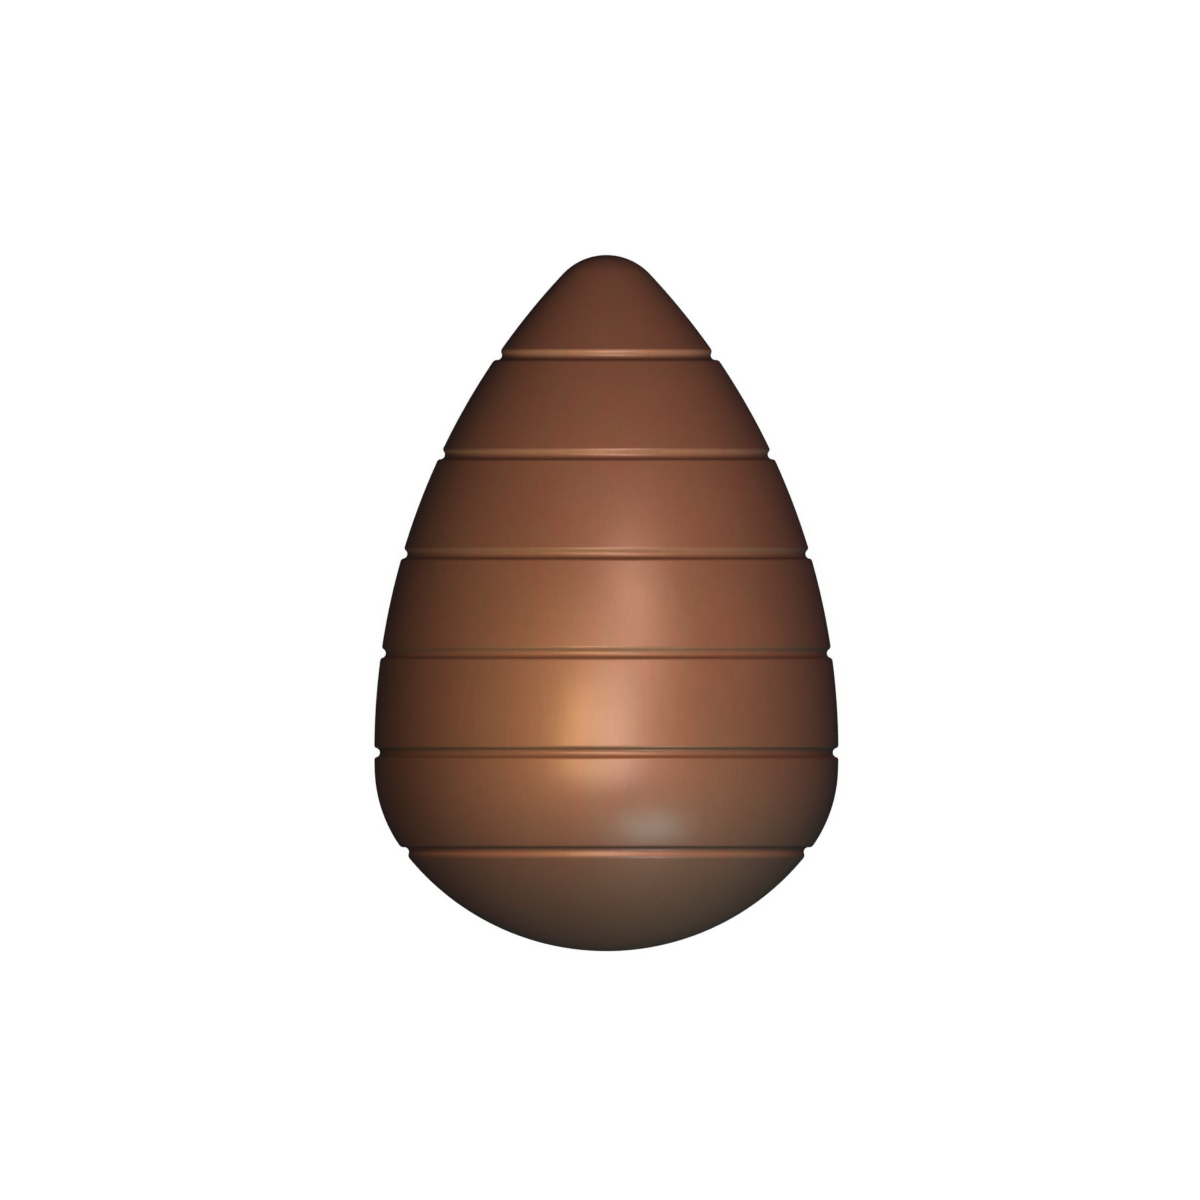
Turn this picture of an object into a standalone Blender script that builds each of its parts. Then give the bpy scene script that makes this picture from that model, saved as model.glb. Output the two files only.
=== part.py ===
"""A hollow-moulded milk chocolate egg with six round grooves, 150 mm long, lying on its side.

The egg is one turned solid, described upright, by its distance from the axis and its height above the
base. Its outline is four arcs that run smoothly into each other, from the pointed tip to the round base:

    tip       a small arc centred on the axis
    flank     the long side, whose radius is the egg's own height
    shoulder  the tighter turn below the widest level
    base      a wide arc centred on the axis

Six round channels with softened lips run round it, at multiples of one pitch above the base. The egg's
centre of mass is higher than its base is round, so it can't stand. It lies as it would come to rest: on
its flank, right under its centre of mass, with the pointed end a little lower than the round one, on a
small flat spot.

Frame: metres, +Z up. The origin is the centre of the flat spot, and the pointed end is towards +Y.
"""

import math
from typing import NamedTuple

import bmesh
import bpy
from mathutils import Matrix, Vector

HEIGHT = 0.150
WIDTH = 0.100
TIP_RADIUS = 0.0128
FLANK_RADIUS = HEIGHT
SHOULDER_RADIUS = 0.030
BASE_RADIUS = 0.055

GROOVE_PITCH = 0.0214  # counted up from the base
CHANNEL_RADIUS = 0.0010

FLAT_SPOT_DEPTH = 0.00025  # how much of the flank the flat spot takes away
CUTTER_SIDE = 0.050

FACET_DEPTH = 0.00008  # the most that a straight facet cuts off an arc
STEPS_AROUND = 62  # an odd multiple of two, so that a facet and not a ridge faces the ground
MERGE_DISTANCE = 0.00001

CHOCOLATE_COLOUR = (0.146, 0.068, 0.040, 1.0)
CHOCOLATE_ROUGHNESS = 0.4


class Groove(NamedTuple):
    """A round channel's depth, and the radius that softens its two lips."""

    depth: float
    lip_radius: float


GROOVES = (  # from the tip down: deepest at the belly, with the widest lips where the surface leans most
    Groove(0.0010, 0.0011),
    Groove(0.0010, 0.0008),
    Groove(0.0010, 0.0008),
    Groove(0.0010, 0.0008),
    Groove(0.0012, 0.00065),
    Groove(0.0010, 0.0011),
)


class Arc(NamedTuple):
    """An arc in the plane of (distance from the axis, height), run through from the start to the end angle.

    Angles are measured from the outward direction, positive upwards. On the egg's outline they fall all
    the way from a quarter turn at the tip to minus a quarter turn at the base.
    """

    centre: Vector
    radius: float
    start: float
    end: float

    def point(self, angle):
        return self.centre + self.radius * direction(angle)

    def points(self):
        """Points along the arc, near enough to each other that no facet cuts off more than FACET_DEPTH."""
        widest_step = 2 * math.acos(1 - FACET_DEPTH / self.radius)
        steps = math.ceil(abs(self.end - self.start) / widest_step)
        turn = (self.end - self.start) / steps
        return [self.point(self.start + turn * step) for step in range(steps + 1)]


def direction(angle):
    return Vector((math.cos(angle), math.sin(angle)))


def angle_of(vector):
    return math.atan2(vector.y, vector.x)


def circle_meetings(centre_a, radius_a, centre_b, radius_b):
    """The two points where two circles meet: the one on the left of the way from a to b, and the other."""
    between = centre_b - centre_a
    distance = between.length
    along = (distance**2 + radius_a**2 - radius_b**2) / (2 * distance)
    aside = math.sqrt(radius_a**2 - along**2)
    forward = between / distance
    left = Vector((-forward.y, forward.x))
    middle = centre_a + along * forward
    return middle + aside * left, middle - aside * left


def outline_arcs():
    """The smooth outline's four arcs, from the tip down to the base."""
    tip_centre = Vector((0, HEIGHT - TIP_RADIUS))
    base_centre = Vector((0, BASE_RADIUS))

    # The flank's arc reaches out to half the width, and the tip's arc touches it from inside.
    flank_inset = FLANK_RADIUS - WIDTH / 2
    tip_above_widest = math.sqrt((FLANK_RADIUS - TIP_RADIUS) ** 2 - flank_inset**2)
    flank_centre = Vector((-flank_inset, tip_centre.y - tip_above_widest))

    # The shoulder's arc touches the flank's and the base's from inside.
    shoulder_centre, _ = circle_meetings(
        base_centre,
        BASE_RADIUS - SHOULDER_RADIUS,
        flank_centre,
        FLANK_RADIUS - SHOULDER_RADIUS,
    )
    if shoulder_centre.x < 0:
        raise ValueError("the shoulder's arc has to lie on the profile's own side of the axis")

    tip_end = angle_of(tip_centre - flank_centre)
    flank_end = angle_of(shoulder_centre - flank_centre)
    shoulder_end = angle_of(shoulder_centre - base_centre)
    return (
        Arc(tip_centre, TIP_RADIUS, math.pi / 2, tip_end),
        Arc(flank_centre, FLANK_RADIUS, tip_end, flank_end),
        Arc(shoulder_centre, SHOULDER_RADIUS, flank_end, shoulder_end),
        Arc(base_centre, BASE_RADIUS, shoulder_end, -math.pi / 2),
    )


OUTLINE = outline_arcs()


def arc_at_height(height):
    """The arc of the outline that passes through a height."""
    return next(arc for arc in OUTLINE if height >= arc.point(arc.end).y)


def outline_between(start, end):
    """The parts of the outline's arcs from one angle down to another."""
    cut_arcs = [arc._replace(start=min(start, arc.start), end=max(end, arc.end)) for arc in OUTLINE]
    return [arc for arc in cut_arcs if arc.start > arc.end]


def lip_arc_centre(channel_centre, lip_radius, side):
    """The centre of the arc that rounds a channel's upper (side 1) or lower (side -1) edge.

    That arc touches the outline from inside and the channel from outside.
    """
    arc = arc_at_height(channel_centre.y + side * CHANNEL_RADIUS)
    meetings = circle_meetings(
        arc.centre,
        arc.radius - lip_radius,
        channel_centre,
        CHANNEL_RADIUS + lip_radius,
    )
    centre = max(meetings, key=lambda point: side * point.y)
    return centre, angle_of(centre - arc.centre)


def groove_arcs(height, groove):
    """The three arcs of the groove at a height: its upper lip, its channel and its lower lip."""
    arc = arc_at_height(height)
    outward = math.asin((height - arc.centre.y) / arc.radius)
    channel_centre = arc.point(outward) + (CHANNEL_RADIUS - groove.depth) * direction(outward)
    upper_centre, upper_start = lip_arc_centre(channel_centre, groove.lip_radius, 1)
    lower_centre, lower_end = lip_arc_centre(channel_centre, groove.lip_radius, -1)

    # The channel runs round its inner side, so its angles pass through half a turn.
    channel_start = angle_of(upper_centre - channel_centre)
    channel_end = angle_of(lower_centre - channel_centre) + 2 * math.pi
    return (
        Arc(upper_centre, groove.lip_radius, upper_start, channel_start - math.pi),
        Arc(channel_centre, CHANNEL_RADIUS, channel_start, channel_end),
        Arc(lower_centre, groove.lip_radius, channel_end - math.pi, lower_end),
    )


def profile_points():
    """The grooved profile from the tip to the base, both on the axis."""
    arcs = []
    band_start = math.pi / 2
    for number, groove in enumerate(GROOVES):
        lips_and_channel = groove_arcs((len(GROOVES) - number) * GROOVE_PITCH, groove)
        arcs += outline_between(band_start, lips_and_channel[0].start)
        arcs += lips_and_channel
        band_start = lips_and_channel[-1].end
    arcs += outline_between(band_start, -math.pi / 2)

    points = arcs[0].points()
    for arc in arcs[1:]:
        points += arc.points()[1:]
    return points


def centre_of_mass_height(points):
    """The height of the turned solid's centre of mass, from the cone slices between the points."""
    volume = 0.0
    moment = 0.0
    for upper, lower in zip(points, points[1:]):
        thickness = upper.y - lower.y
        growth = upper.x - lower.x
        square = lower.x**2 + lower.x * growth + growth**2 / 3
        weighted = lower.x**2 / 2 + 2 * lower.x * growth / 3 + growth**2 / 4
        volume += thickness * square
        moment += thickness * (lower.y * square + thickness * weighted)
    return moment / volume


def lying_placement(mass_height):
    """Turns the upright egg onto its flank, so that the flat spot's plane is the ground under its mass."""
    flank = OUTLINE[1]
    lean = angle_of(Vector((0, mass_height)) - flank.centre)
    touch = flank.point(lean)
    turned = Matrix.Rotation(-(math.pi / 2 + lean), 4, "X")
    lowest = turned @ Vector((0, touch.x, touch.y))
    return Matrix.Translation(Vector((0, 0, -FLAT_SPOT_DEPTH)) - lowest) @ turned


def clear_scene():
    for scene_object in list(bpy.context.scene.objects):
        bpy.data.objects.remove(scene_object, do_unlink=True)


def new_collection(name):
    collection = bpy.data.collections.new(name)
    bpy.context.scene.collection.children.link(collection)
    return collection


def milk_chocolate():
    material = bpy.data.materials.new("milk_chocolate")
    material.use_nodes = True
    shader = material.node_tree.nodes["Principled BSDF"]
    shader.inputs["Base Color"].default_value = CHOCOLATE_COLOUR
    shader.inputs["Roughness"].default_value = CHOCOLATE_ROUGHNESS
    shader.inputs["Metallic"].default_value = 0.0
    return material


def turned_object(name, points):
    """An object whose mesh is the profile, turned a full circle about its Z axis by a Screw modifier."""
    mesh = bpy.data.meshes.new(name)
    edges = [(index, index + 1) for index in range(len(points) - 1)]
    mesh.from_pydata([(point.x, 0, point.y) for point in points], edges, [])
    turned = bpy.data.objects.new(name, mesh)
    screw = turned.modifiers.new("turn", "SCREW")
    screw.axis = "Z"
    screw.angle = 2 * math.pi
    screw.steps = STEPS_AROUND
    screw.render_steps = STEPS_AROUND
    screw.use_merge_vertices = True
    screw.merge_threshold = MERGE_DISTANCE
    screw.use_smooth_shade = True
    return turned


def ground_cutter():
    """A block just below the ground, which takes the flat spot off the egg."""
    mesh = bpy.data.meshes.new("ground_cutter")
    block = bmesh.new()
    bmesh.ops.create_cube(block, size=CUTTER_SIDE)
    block.to_mesh(mesh)
    block.free()
    cutter = bpy.data.objects.new("ground_cutter", mesh)
    cutter.location = (0, 0, -CUTTER_SIDE / 2)
    cutter.hide_render = True
    cutter.display_type = "WIRE"
    return cutter


def main():
    clear_scene()
    points = profile_points()

    egg = turned_object("egg", points)
    egg.data.materials.append(milk_chocolate())
    placement = lying_placement(centre_of_mass_height(points))
    egg.location = placement.to_translation()
    egg.rotation_euler = placement.to_euler()
    new_collection("chocolate_egg").objects.link(egg)

    cutter = ground_cutter()
    new_collection("cutters").objects.link(cutter)
    flat_spot = egg.modifiers.new("flat_spot", "BOOLEAN")
    flat_spot.operation = "DIFFERENCE"
    flat_spot.solver = "EXACT"
    flat_spot.object = cutter


main()
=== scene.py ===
"""Looks for the chocolate egg: one finely turned piece in milk chocolate, on a pale floor.

The egg lies on its flank with its pointed end towards +Y. The camera looks down on it, square to its
axis, so the picture shows it from the side, with the tip at the top and the grooves as level lines.

All lengths are in metres. The egg's own frame is upright: its base is at the origin and its axis is +Z.
"""

import math
from typing import NamedTuple

import bmesh
import bpy
from mathutils import Matrix, Vector


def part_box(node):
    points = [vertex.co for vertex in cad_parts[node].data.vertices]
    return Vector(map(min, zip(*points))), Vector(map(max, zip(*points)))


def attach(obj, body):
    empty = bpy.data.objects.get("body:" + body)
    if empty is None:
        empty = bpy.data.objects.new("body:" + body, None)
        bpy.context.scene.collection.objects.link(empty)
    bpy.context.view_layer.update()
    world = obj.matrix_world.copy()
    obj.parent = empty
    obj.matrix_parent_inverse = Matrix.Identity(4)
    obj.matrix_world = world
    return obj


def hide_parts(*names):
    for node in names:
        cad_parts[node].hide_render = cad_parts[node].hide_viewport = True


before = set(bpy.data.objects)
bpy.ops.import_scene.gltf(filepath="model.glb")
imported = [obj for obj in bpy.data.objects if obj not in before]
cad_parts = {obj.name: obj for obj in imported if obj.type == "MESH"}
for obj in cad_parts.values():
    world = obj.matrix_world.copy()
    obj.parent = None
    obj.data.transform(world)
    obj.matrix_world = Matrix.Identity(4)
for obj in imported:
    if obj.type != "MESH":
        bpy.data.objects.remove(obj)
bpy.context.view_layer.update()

# The egg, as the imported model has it.
HEIGHT = 0.150
WIDTH = 0.100
TIP_RADIUS = 0.0128
FLANK_RADIUS = HEIGHT
SHOULDER_RADIUS = 0.030
BASE_RADIUS = 0.055
GROOVE_PITCH = 0.0214  # counted up from the base
CHANNEL_RADIUS = 0.0010
FLAT_SPOT_DEPTH = 0.00025

# How finely it is turned. Steps are short beside the joints of two arcs and grow away from them, so that
# smooth shading keeps each arc's own curvature.
STEPS_AROUND = 192
SHORTEST_STEP = 0.00006
STEP_GROWTH = 0.35
FACET_DEPTH = 0.000003  # the most that a straight facet cuts off an arc
MERGE_DISTANCE = 0.0000001
BOX_TOLERANCE = 0.0003  # how far this egg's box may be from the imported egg's

# The camera. The picture is square, and the egg's middle lies a little off its centre.
PICTURE_SIDE = 0.2585
EGG_MIDDLE_IN_PICTURE = (0.00137, -0.00067)  # to the right of and above the picture's centre
CAMERA_DISTANCE = 0.2725

# The floor and what lies beyond it, which look the same.
FLOOR_SIDE = 12.0
PALENESS = 1.05  # of the floor as seen, and of the backdrop: just past white, as in a high-key picture
FLOOR_LIGHT_STRENGTH = 3.45
FLOOR_LIGHT_SPREAD = math.radians(16)
SHADOWED_SHARE = 0.13  # of the floor's light, how much the egg keeps off it
PAINTED_CONTACT_SHADOW = 0.25  # painted shadow: how pale the floor still is right under the flat spot
PAINTED_CONTACT_SHADOW_REACH = (0.042, 0.060, 0.042)  # how far the painted shadow reaches across, along and above the egg
STUDIO_DIMNESS = (0.022, 0.026, 0.034)  # what the egg and the floor see of the room around the lamps

# The chocolate. Colours are linear, and sizes are those of the patterns.
REDDISH_CHOCOLATE = (0.1505, 0.0645, 0.040, 1.0)
OLIVE_CHOCOLATE = (0.1385, 0.0705, 0.040, 1.0)
STREAK_SIZE = (0.0035, 0.0035, 0.045)
CLOUD_SIZE = (0.030, 0.030, 0.030)
MOTTLE_SIZE = (0.0022, 0.0022, 0.0022)
CLOUD_TONES = (0.95, 1.05)
MOTTLE_TONES = (0.975, 1.025)
HAIRLINE_SIZE = (0.0005, 0.0005, 0.008)
HAIRLINE_TONES = (0.955, 1.045)
GLOSS_PATCH_SIZE = (0.012, 0.012, 0.020)
GLOSS_ROUGHNESS = (0.38, 0.46)
SPECULAR_TINT = (1.0, 0.80, 0.72, 1.0)
GRAIN_SIZE = (0.00035, 0.00035, 0.00035)
GRAIN_HEIGHT = 0.0000025
WAVE_SIZE = (0.008, 0.008, 0.012)
WAVE_HEIGHT = 0.000014

# Painted light and shade in the grooves: how much each channel of the chocolate's colour is lightened or darkened,
# which is 1 outside the grooves.
PAINTED_SHADING_ATTRIBUTE = "groove_painted_shading"
PLAIN_TONE = Vector((1.0, 1.0, 1.0))
UPPER_WALL_PAINTED_LIGHT_TINT = Vector((0.95, 1.11, 1.09))  # the painted light and shade on each groove's upper lip and wall is a little more olive


class Groove(NamedTuple):
    """A round channel with softened lips, and the painted light and shade on its upper lip, upper wall, floor and
    lower wall.
    """

    depth: float
    lip_radius: float
    painted_shading: tuple


# The last four numbers of each groove paint light and shade on its upper lip, upper wall, floor and lower wall.
GROOVES = (  # from the tip down
    Groove(0.0010, 0.0011, (1.95, 1.88, 0.64, 0.50)),
    Groove(0.0010, 0.0008, (1.31, 1.70, 0.82, 0.42)),
    Groove(0.0010, 0.0008, (1.14, 1.30, 0.98, 0.46)),
    Groove(0.0010, 0.0008, (0.93, 0.86, 1.02, 0.61)),
    Groove(0.0012, 0.00065, (1.02, 0.60, 0.92, 0.70)),
    Groove(0.0010, 0.0011, (0.52, 0.41, 0.67, 1.38)),
)


class Arc(NamedTuple):
    """An arc in the plane of (distance from the axis, height), run through from the start to the end angle.

    Angles are measured from the outward direction, positive upwards. On the egg's outline they fall all
    the way from a quarter turn at the tip to minus a quarter turn at the base. The painted light and shade
    are given at the arc's start, middle and end.
    """

    centre: Vector
    radius: float
    start: float
    end: float
    painted_shading: tuple = (PLAIN_TONE, PLAIN_TONE, PLAIN_TONE)

    def point(self, angle):
        return self.centre + self.radius * direction(angle)

    def tone(self, share):
        """The painted light and shade at this share of the way along the arc."""
        painted_start, painted_middle, painted_end = self.painted_shading
        if share < 0.5:
            return painted_start + (painted_middle - painted_start) * 2 * share
        return painted_middle + (painted_end - painted_middle) * (2 * share - 1)

    def points_and_painted_shading(self):
        """Points along the arc, close together at its two ends, each with the painted light and shade there."""
        length = self.radius * abs(self.end - self.start)
        longest_step = math.sqrt(8 * self.radius * FACET_DEPTH)
        distances = [0.0]
        while distances[-1] < length / 2:
            distances.append(distances[-1] + min(longest_step, SHORTEST_STEP + STEP_GROWTH * distances[-1]))
        shares = [distance / distances[-1] / 2 for distance in distances]
        shares += [1 - share for share in reversed(shares[:-1])]
        turn = self.end - self.start
        return [(self.point(self.start + turn * share), self.tone(share)) for share in shares]


def direction(angle):
    return Vector((math.cos(angle), math.sin(angle)))


def angle_of(vector):
    return math.atan2(vector.y, vector.x)


def circle_meetings(centre_a, radius_a, centre_b, radius_b):
    """The two points where two circles meet: the one on the left of the way from a to b, and the other."""
    between = centre_b - centre_a
    distance = between.length
    along = (distance**2 + radius_a**2 - radius_b**2) / (2 * distance)
    aside = math.sqrt(radius_a**2 - along**2)
    forward = between / distance
    left = Vector((-forward.y, forward.x))
    middle = centre_a + along * forward
    return middle + aside * left, middle - aside * left


def outline_arcs():
    """The smooth outline's four arcs, from the tip down to the base."""
    tip_centre = Vector((0, HEIGHT - TIP_RADIUS))
    base_centre = Vector((0, BASE_RADIUS))

    # The flank's arc reaches out to half the width, and the tip's arc touches it from inside.
    flank_inset = FLANK_RADIUS - WIDTH / 2
    tip_above_widest = math.sqrt((FLANK_RADIUS - TIP_RADIUS) ** 2 - flank_inset**2)
    flank_centre = Vector((-flank_inset, tip_centre.y - tip_above_widest))

    # The shoulder's arc touches the flank's and the base's from inside.
    shoulder_centre, _ = circle_meetings(
        base_centre,
        BASE_RADIUS - SHOULDER_RADIUS,
        flank_centre,
        FLANK_RADIUS - SHOULDER_RADIUS,
    )

    tip_end = angle_of(tip_centre - flank_centre)
    flank_end = angle_of(shoulder_centre - flank_centre)
    shoulder_end = angle_of(shoulder_centre - base_centre)
    return (
        Arc(tip_centre, TIP_RADIUS, math.pi / 2, tip_end),
        Arc(flank_centre, FLANK_RADIUS, tip_end, flank_end),
        Arc(shoulder_centre, SHOULDER_RADIUS, flank_end, shoulder_end),
        Arc(base_centre, BASE_RADIUS, shoulder_end, -math.pi / 2),
    )


OUTLINE = outline_arcs()


def arc_at_height(height):
    """The arc of the outline that passes through a height."""
    return next((arc for arc in OUTLINE if height >= arc.point(arc.end).y), OUTLINE[-1])


def outline_between(start, end):
    """The parts of the outline's arcs from one angle down to another."""
    cut_arcs = [arc._replace(start=min(start, arc.start), end=max(end, arc.end)) for arc in OUTLINE]
    return [arc for arc in cut_arcs if arc.start > arc.end]


def lip_arc_centre(channel_centre, lip_radius, side):
    """The centre of the arc that rounds a channel's upper (side 1) or lower (side -1) edge.

    That arc touches the outline from inside and the channel from outside.
    """
    arc = arc_at_height(channel_centre.y + side * CHANNEL_RADIUS)
    meetings = circle_meetings(
        arc.centre,
        arc.radius - lip_radius,
        channel_centre,
        CHANNEL_RADIUS + lip_radius,
    )
    centre = max(meetings, key=lambda point: side * point.y)
    return centre, angle_of(centre - arc.centre)


def groove_arcs(height, groove):
    """The three arcs of the groove at a height: its upper lip, its channel and its lower lip."""
    arc = arc_at_height(height)
    outward = math.asin((height - arc.centre.y) / arc.radius)
    channel_centre = arc.point(outward) + (CHANNEL_RADIUS - groove.depth) * direction(outward)
    upper_centre, upper_start = lip_arc_centre(channel_centre, groove.lip_radius, 1)
    lower_centre, lower_end = lip_arc_centre(channel_centre, groove.lip_radius, -1)

    # The channel runs round its inner side, so its angles pass through half a turn.
    channel_start = angle_of(upper_centre - channel_centre)
    channel_end = angle_of(lower_centre - channel_centre) + 2 * math.pi
    # The groove's painted highlights and painted shade, from its four numbers.
    painted_lip_light, painted_upper_wall_light, painted_floor_light, painted_lower_wall_light = (lightness * PLAIN_TONE for lightness in groove.painted_shading)
    # The painted light and shade on the upper lip and upper wall get a more olive hue.
    painted_lip_light = painted_lip_light * UPPER_WALL_PAINTED_LIGHT_TINT
    painted_upper_wall_light = painted_upper_wall_light * UPPER_WALL_PAINTED_LIGHT_TINT
    upper_lip_painted_shading = (PLAIN_TONE, painted_lip_light, painted_upper_wall_light)
    channel_painted_shading = (painted_upper_wall_light, painted_floor_light, painted_lower_wall_light)
    lower_lip_painted_shading = (painted_lower_wall_light, (PLAIN_TONE + painted_lower_wall_light) / 2, PLAIN_TONE)
    return (
        Arc(upper_centre, groove.lip_radius, upper_start, channel_start - math.pi, upper_lip_painted_shading),
        Arc(channel_centre, CHANNEL_RADIUS, channel_start, channel_end, channel_painted_shading),
        Arc(lower_centre, groove.lip_radius, channel_end - math.pi, lower_end, lower_lip_painted_shading),
    )


def grooved_profile():
    """The grooved profile's points from the tip to the base, both on the axis, and the painted light and shade at
    each.
    """
    arcs = []
    band_start = math.pi / 2
    for number, groove in enumerate(GROOVES):
        lips_and_channel = groove_arcs((len(GROOVES) - number) * GROOVE_PITCH, groove)
        arcs += outline_between(band_start, lips_and_channel[0].start)
        arcs += lips_and_channel
        band_start = lips_and_channel[-1].end
    arcs += outline_between(band_start, -math.pi / 2)

    profile = arcs[0].points_and_painted_shading()
    for arc in arcs[1:]:
        profile += arc.points_and_painted_shading()[1:]
    return zip(*profile)


def centre_of_mass_height(points):
    """The height of the turned solid's centre of mass, from the cone slices between the points."""
    volume = 0.0
    moment = 0.0
    for upper, lower in zip(points, points[1:]):
        thickness = upper.y - lower.y
        growth = upper.x - lower.x
        square = lower.x**2 + lower.x * growth + growth**2 / 3
        weighted = lower.x**2 / 2 + 2 * lower.x * growth / 3 + growth**2 / 4
        volume += thickness * square
        moment += thickness * (lower.y * square + thickness * weighted)
    return moment / volume


def lying_placement(mass_height):
    """Turns the upright egg onto its flank, so that the flat spot's plane is the ground under its mass."""
    flank = OUTLINE[1]
    lean = angle_of(Vector((0, mass_height)) - flank.centre)
    touch = flank.point(lean)
    turned = Matrix.Rotation(-(math.pi / 2 + lean), 4, "X")
    lowest = turned @ Vector((0, touch.x, touch.y))
    return Matrix.Translation(Vector((0, 0, -FLAT_SPOT_DEPTH)) - lowest) @ turned


def new_collection(name):
    collection = bpy.data.collections.new(name)
    bpy.context.scene.collection.children.link(collection)
    return collection


def turned_mesh(name, points, painted_shading):
    """The profile turned a full circle about its Z axis, with its painted groove light and shade as an attribute."""
    profile = bpy.data.meshes.new(name + "_profile")
    edges = [(index, index + 1) for index in range(len(points) - 1)]
    profile.from_pydata([(point.x, 0, point.y) for point in points], edges, [])
    attribute = profile.attributes.new(PAINTED_SHADING_ATTRIBUTE, "FLOAT_VECTOR", "POINT")
    attribute.data.foreach_set("vector", [channel for tone in painted_shading for channel in tone])
    turned = bpy.data.objects.new(name + "_turned", profile)
    bpy.context.scene.collection.objects.link(turned)
    screw = turned.modifiers.new("turn", "SCREW")
    screw.axis = "Z"
    screw.angle = 2 * math.pi
    screw.steps = STEPS_AROUND
    screw.render_steps = STEPS_AROUND
    screw.use_merge_vertices = True
    screw.merge_threshold = MERGE_DISTANCE
    screw.use_smooth_shade = True
    evaluated = turned.evaluated_get(bpy.context.evaluated_depsgraph_get())
    mesh = bpy.data.meshes.new_from_object(evaluated)
    mesh.name = name
    bpy.data.objects.remove(turned)
    bpy.data.meshes.remove(profile)
    return mesh


def cut_flat_spot(mesh):
    """Takes off what is below the ground, and closes the cut with a flat face."""
    cut = bmesh.new()
    cut.from_mesh(mesh)
    found = bmesh.ops.bisect_plane(
        cut,
        geom=cut.verts[:] + cut.edges[:] + cut.faces[:],
        plane_co=(0, 0, 0),
        plane_no=(0, 0, -1),
        clear_outer=True,
    )
    rim = [item for item in found["geom_cut"] if isinstance(item, bmesh.types.BMEdge)]
    for edge in rim:
        edge.smooth = False
    bmesh.ops.contextual_create(cut, geom=rim)
    bmesh.ops.recalc_face_normals(cut, faces=cut.faces[:])
    cut.to_mesh(mesh)
    cut.free()


class NodeBuilder:
    """Adds nodes to a material and joins them up."""

    def __init__(self, material):
        self.nodes = material.node_tree.nodes
        self.links = material.node_tree.links

    def add(self, kind, values=None, **settings):
        """A node with these settings. Each value is a number for a socket, or another node's output."""
        node = self.nodes.new(kind)
        for name, setting in settings.items():
            setattr(node, name, setting)
        for socket, value in (values or {}).items():
            if isinstance(value, bpy.types.NodeSocket):
                self.links.new(value, node.inputs[socket])
            else:
                node.inputs[socket].default_value = value
        return node

    def noise(self, place, size, detail):
        """Soft noise of about this size along each axis."""
        scaled = self.add("ShaderNodeVectorMath", {0: place, 1: size}, operation="DIVIDE")
        texture = self.add("ShaderNodeTexNoise", {"Vector": scaled.outputs[0], "Scale": 1.0, "Detail": detail})
        return texture.outputs["Fac"]

    def spread(self, value, low, high):
        """Turns noise, most of which lies between 0.3 and 0.7, into a range."""
        inputs = {"Value": value, "From Min": 0.3, "From Max": 0.7, "To Min": low, "To Max": high}
        return self.add("ShaderNodeMapRange", inputs).outputs["Result"]

    def product(self, first, second):
        return self.add("ShaderNodeMath", {0: first, 1: second}, operation="MULTIPLY").outputs[0]


def milk_chocolate(placement):
    """Satin chocolate: faint streaks along the egg, clouds, mottling, and painted light and shade in the grooves."""
    material = bpy.data.materials.new("milk_chocolate")
    material.use_nodes = True
    build = NodeBuilder(material)
    coordinates = build.add("ShaderNodeTexCoord").outputs["Object"]
    upright = build.add(
        "ShaderNodeMapping",
        {"Vector": coordinates, "Location": placement.to_translation(), "Rotation": placement.to_euler()},
        vector_type="TEXTURE",
    ).outputs["Vector"]

    streaks = build.spread(build.noise(upright, STREAK_SIZE, 2.0), 0.0, 1.0)
    hue = build.add("ShaderNodeMix", {"Factor": streaks, 6: REDDISH_CHOCOLATE, 7: OLIVE_CHOCOLATE}, data_type="RGBA")
    clouds = build.spread(build.noise(upright, CLOUD_SIZE, 2.0), *CLOUD_TONES)
    mottle = build.spread(build.noise(upright, MOTTLE_SIZE, 3.0), *MOTTLE_TONES)
    hairlines = build.spread(build.noise(upright, HAIRLINE_SIZE, 1.0), *HAIRLINE_TONES)
    tone = build.product(build.product(clouds, mottle), hairlines)
    toned = build.add("ShaderNodeVectorMath", {0: hue.outputs[2], "Scale": tone}, operation="SCALE")
    # The grooves' painted light and shade, which the mesh carries as an attribute.
    groove = build.add("ShaderNodeAttribute", attribute_name=PAINTED_SHADING_ATTRIBUTE).outputs["Vector"]
    colour = build.add("ShaderNodeVectorMath", {0: toned.outputs[0], 1: groove}, operation="MULTIPLY")

    gloss_patches = build.spread(build.noise(upright, GLOSS_PATCH_SIZE, 2.0), *GLOSS_ROUGHNESS)
    waves = build.add(
        "ShaderNodeBump", {"Height": build.noise(upright, WAVE_SIZE, 1.0), "Distance": WAVE_HEIGHT}
    )
    grain = build.add(
        "ShaderNodeBump",
        {
            "Height": build.noise(upright, GRAIN_SIZE, 2.0),
            "Distance": GRAIN_HEIGHT,
            "Normal": waves.outputs["Normal"],
        },
    )

    shader = material.node_tree.nodes["Principled BSDF"]
    build.links.new(colour.outputs["Vector"], shader.inputs["Base Color"])
    build.links.new(gloss_patches, shader.inputs["Roughness"])
    build.links.new(grain.outputs["Normal"], shader.inputs["Normal"])
    shader.inputs["Specular Tint"].default_value = SPECULAR_TINT
    return material


def check_box(piece, node):
    """Stops the script if the piece isn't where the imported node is."""
    corners = [vertex.co for vertex in piece.data.vertices]
    lowest = Vector(min(corner[axis] for corner in corners) for axis in range(3))
    highest = Vector(max(corner[axis] for corner in corners) for axis in range(3))
    cad_lowest, cad_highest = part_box(node)
    miss = max(*map(abs, lowest - cad_lowest), *map(abs, highest - cad_highest))
    if miss > BOX_TOLERANCE:
        raise ValueError(f"{piece.name} is {miss * 1000:.2f} mm off the packed {node}")


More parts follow.
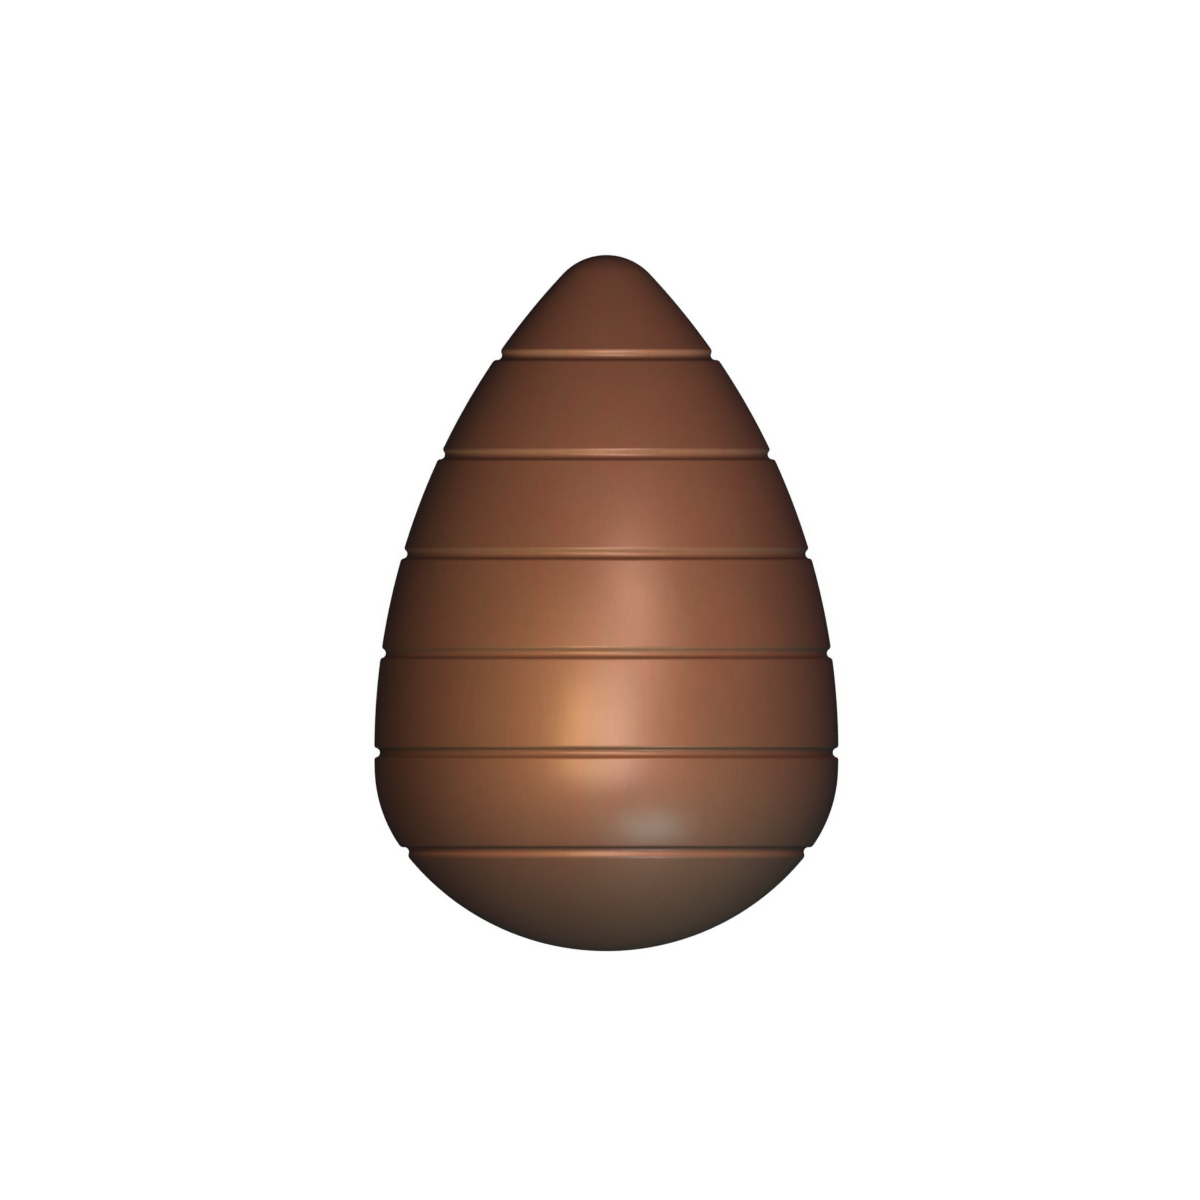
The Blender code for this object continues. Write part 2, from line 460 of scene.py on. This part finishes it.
def add_egg(collection, points, painted_shading, placement):
    mesh = turned_mesh("milk_chocolate_egg", points, painted_shading)
    mesh.transform(placement)
    cut_flat_spot(mesh)
    egg = bpy.data.objects.new("milk_chocolate_egg", mesh)
    collection.objects.link(egg)
    egg.data.materials.clear()
    egg.data.materials.append(milk_chocolate(placement))
    check_box(egg, "egg")
    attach(egg, "root")
    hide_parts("egg")


def add_camera(placement):
    """An orthographic camera, square to the egg's axis, with the tip at the top of the picture."""
    data = bpy.data.cameras.new("camera")
    data.type = "ORTHO"
    data.ortho_scale = PICTURE_SIDE
    camera = bpy.data.objects.new("camera", data)
    bpy.context.scene.collection.objects.link(camera)

    turn = placement.to_3x3()
    right = Vector((1, 0, 0))
    up = turn @ Vector((0, 0, 1))
    back = right.cross(up)
    facing = Matrix((right, up, back)).transposed()
    egg_middle = placement @ Vector((0, 0, HEIGHT / 2))
    offset = Vector((-EGG_MIDDLE_IN_PICTURE[0], -EGG_MIDDLE_IN_PICTURE[1], CAMERA_DISTANCE))
    camera.matrix_world = Matrix.Translation(egg_middle + facing @ offset) @ facing.to_4x4()
    bpy.context.scene.camera = camera
    return camera


LAMPS = (
    # name, place (right, up, towards the camera) from the egg's middle, radius, colour, power
    ("key", (-0.004, -0.026, 0.097), 0.022, (1.0, 0.78, 0.40), 0.0320),
    ("upper", (0.046, 0.066, 0.198), 0.046, (1.0, 0.68, 0.55), 0.273),
    ("lower", (0.047, -0.141, 0.113), 0.027, (0.53, 0.93, 1.0), 0.0860),
    ("left", (-0.089, -0.023, 0.388), 0.010, (1.0, 0.68, 0.05), 0.419),
    ("far", (0.043, -0.058, 0.900), 0.200, (0.66, 0.67, 1.0), 4.06),
)


def add_lamps(camera, egg_collection):
    """Soft round lamps carried by the camera, so that every side of the egg is seen in the same light."""
    for name, place, radius, colour, power in LAMPS:
        data = bpy.data.lights.new(name, "AREA")
        data.shape = "DISK"
        data.size = 2 * radius
        data.color = colour
        data.energy = power
        lamp = bpy.data.objects.new(name, data)
        bpy.context.scene.collection.objects.link(lamp)
        lamp.parent = camera
        egg_middle = Vector((EGG_MIDDLE_IN_PICTURE[0], EGG_MIDDLE_IN_PICTURE[1], -CAMERA_DISTANCE))
        lamp.location = egg_middle + Vector(place)
        lamp.rotation_mode = "QUATERNION"
        lamp.rotation_quaternion = (-Vector(place)).to_track_quat("-Z", "Y")
        lamp.visible_camera = False
        lamp.light_linking.receiver_collection = egg_collection
        data.use_shadow = False


def pale_floor(light_steepness):
    """A dull floor, as pale as the backdrop, with a soft shadow painted where the egg touches it."""
    material = bpy.data.materials.new("pale_floor")
    material.use_nodes = True
    build = NodeBuilder(material)
    # A shadow painted on the floor, darkest right under the flat spot and fading out around it.
    coordinates = build.add("ShaderNodeTexCoord").outputs["Object"]
    scaled = build.add("ShaderNodeVectorMath", {0: coordinates, 1: PAINTED_CONTACT_SHADOW_REACH}, operation="DIVIDE")
    painted_shadow_nearness = build.add("ShaderNodeTexGradient", {"Vector": scaled.outputs[0]}, gradient_type="QUADRATIC_SPHERE")
    shade = build.add(
        "ShaderNodeMapRange",
        {"Value": painted_shadow_nearness.outputs["Fac"], "To Min": 1.0, "To Max": PAINTED_CONTACT_SHADOW},
    )
    # The room's tinted light is taken out of the floor's own colour, so that the floor looks neutral.
    lamplight = FLOOR_LIGHT_STRENGTH * light_steepness / math.pi
    neutral = [PALENESS / (lamplight + dimness) for dimness in STUDIO_DIMNESS]
    colour = build.add("ShaderNodeVectorMath", {0: neutral, "Scale": shade.outputs["Result"]}, operation="SCALE")
    shader = material.node_tree.nodes["Principled BSDF"]
    build.links.new(colour.outputs["Vector"], shader.inputs["Base Color"])
    shader.inputs["Roughness"].default_value = 1.0
    shader.inputs["Specular IOR Level"].default_value = 0.0
    return material


def add_floor(camera):
    stage_collection = new_collection("stage")
    half = FLOOR_SIDE / 2
    mesh = bpy.data.meshes.new("floor")
    corners = [(-half, -half, 0), (half, -half, 0), (half, half, 0), (-half, half, 0)]
    mesh.from_pydata(corners, [], [(0, 1, 2, 3)])
    floor = bpy.data.objects.new("floor", mesh)
    stage_collection.objects.link(floor)
    facing = camera.matrix_world.to_3x3() @ Vector((0, 0, 1))
    mesh.materials.append(pale_floor(facing.z))
    floor.visible_diffuse = False
    floor.visible_glossy = False

    for name, share, casts_shadow in (
        ("floor_light", SHADOWED_SHARE, True),
        ("floor_wash", 1 - SHADOWED_SHARE, False),
    ):
        data = bpy.data.lights.new(name, "SUN")
        data.energy = FLOOR_LIGHT_STRENGTH * share
        data.angle = FLOOR_LIGHT_SPREAD
        data.use_shadow = casts_shadow
        light = bpy.data.objects.new(name, data)
        bpy.context.scene.collection.objects.link(light)
        light.rotation_euler = camera.matrix_world.to_euler()
        light.light_linking.receiver_collection = stage_collection


def add_world():
    """A pale backdrop to the camera, and a dim room to the egg."""
    world = bpy.data.worlds.new("studio")
    bpy.context.scene.world = world
    world.use_nodes = True
    nodes = world.node_tree.nodes
    links = world.node_tree.links
    nodes.clear()
    output = nodes.new("ShaderNodeOutputWorld")
    mix = nodes.new("ShaderNodeMixShader")
    light_path = nodes.new("ShaderNodeLightPath")
    room = nodes.new("ShaderNodeBackground")
    backdrop = nodes.new("ShaderNodeBackground")
    room.inputs["Color"].default_value = (*STUDIO_DIMNESS, 1)
    backdrop.inputs["Color"].default_value = (PALENESS, PALENESS, PALENESS, 1)
    links.new(light_path.outputs["Is Camera Ray"], mix.inputs["Fac"])
    links.new(room.outputs["Background"], mix.inputs[1])
    links.new(backdrop.outputs["Background"], mix.inputs[2])
    links.new(mix.outputs["Shader"], output.inputs["Surface"])


def main():
    points, painted_shading = grooved_profile()
    placement = lying_placement(centre_of_mass_height(points))
    egg_collection = new_collection("chocolate_egg")
    add_egg(egg_collection, points, painted_shading, placement)
    camera = add_camera(placement)
    add_lamps(camera, egg_collection)
    add_floor(camera)
    add_world()
    bpy.context.scene.view_settings.view_transform = "Standard"


main()
